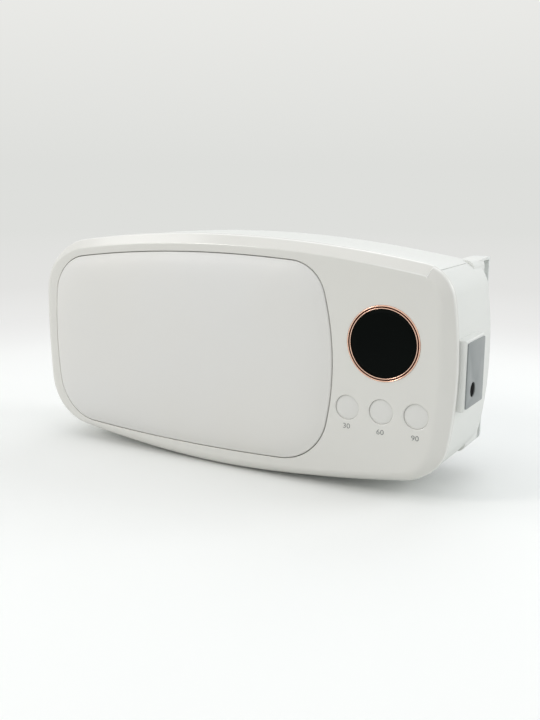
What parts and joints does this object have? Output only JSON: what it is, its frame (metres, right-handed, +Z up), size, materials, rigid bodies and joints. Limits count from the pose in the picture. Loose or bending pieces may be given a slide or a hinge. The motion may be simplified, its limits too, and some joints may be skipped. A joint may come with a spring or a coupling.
{
  "type": "nail lamp",
  "caption": "White manicure lamp standing on its long edge: hand pad, round display and three push buttons on the front, open hand space with lights behind, lift-off base tray.",
  "frame": {"origin": "middle of the bounding box at the surface that the lamp stands on, resting on its long edge", "axes": "+X along the lamp towards the end with the power socket, +Y from the control face into the lamp and out through its base, +Z up, across the lamp's width"},
  "size_m": [0.2518, 0.078, 0.1226],
  "materials": {
    "cover": "satin white moulded ABS",
    "pad": "matt off-white silicone over a firm core",
    "carrier": "unpainted grey ABS",
    "ring": "rose gold, polished edges",
    "lens": "smoked black acrylic",
    "module": "black digit module",
    "switch": "black switch body",
    "plunger": "dark brown switch plunger",
    "board": "green solder mask",
    "steel": "zinc-plated steel",
    "housing": "fine-textured white ABS",
    "led": "clear lens over pale yellow phosphor",
    "reflector": "glossy white liner",
    "sensor": "dark infrared window",
    "ribbon": "white flat cable",
    "connector": "ivory nylon",
    "jack": "black nylon",
    "pin": "nickel-plated contact",
    "plate": "matt mid-grey plate",
    "lead": "black insulated lead",
    "foot": "fine-textured white ABS",
    "tray": "satin white ABS",
    "magnet": "nickel-plated magnet",
    "disc": "plain steel",
    "grip": "grey rubber",
    "button": "satin white ABS"
  },
  "bodies": {
    "case": {"top_cover": "cover", "hand_pad": "pad", "pad_board": "carrier", "display_ring": "ring", "display_lens": "lens", "display_module": "module", "switch_bodies": "switch", "control_board": "board", "board_screws": "steel", "housing": "housing", "case_screws": "steel", "led_board": "board", "led_beads": "led", "led_screws": "steel", "reflector": "reflector", "hand_sensor": "sensor", "ribbon_cable": "ribbon", "cable_connectors": "connector", "dc_jack": "jack", "jack_pin": "pin", "socket_plate": "plate", "power_lead": "lead", "foot_left": "foot", "foot_right": "foot", "foot_screws": "steel", "tray_magnets": "magnet"},
    "button_30": {"button_30": "button", "switch_plunger_30": "plunger"},
    "button_60": {"button_60": "button", "switch_plunger_60": "plunger"},
    "button_90": {"button_90": "button", "switch_plunger_90": "plunger"},
    "tray": {"base_tray": "tray", "catch_discs": "disc", "rubber_feet": "grip"}
  },
  "joints": [
    {"name": "button_30_press", "type": "slide", "parent": "case", "child": "button_30", "axis": [0, 1, 0], "range_m": [0, 0.0008], "stiffness_N_per_m": 1500, "springref_m": -0.0003},
    {"name": "button_60_press", "type": "slide", "parent": "case", "child": "button_60", "axis": [0, 1, 0], "range_m": [0, 0.0008], "stiffness_N_per_m": 1500, "springref_m": -0.0003},
    {"name": "button_90_press", "type": "slide", "parent": "case", "child": "button_90", "axis": [0, 1, 0], "range_m": [0, 0.0008], "stiffness_N_per_m": 1500, "springref_m": -0.0003},
    {"name": "tray_slide", "type": "slide", "parent": "case", "child": "tray", "axis": [0, 1, 0], "range_m": [0, 0.06]}
  ]
}
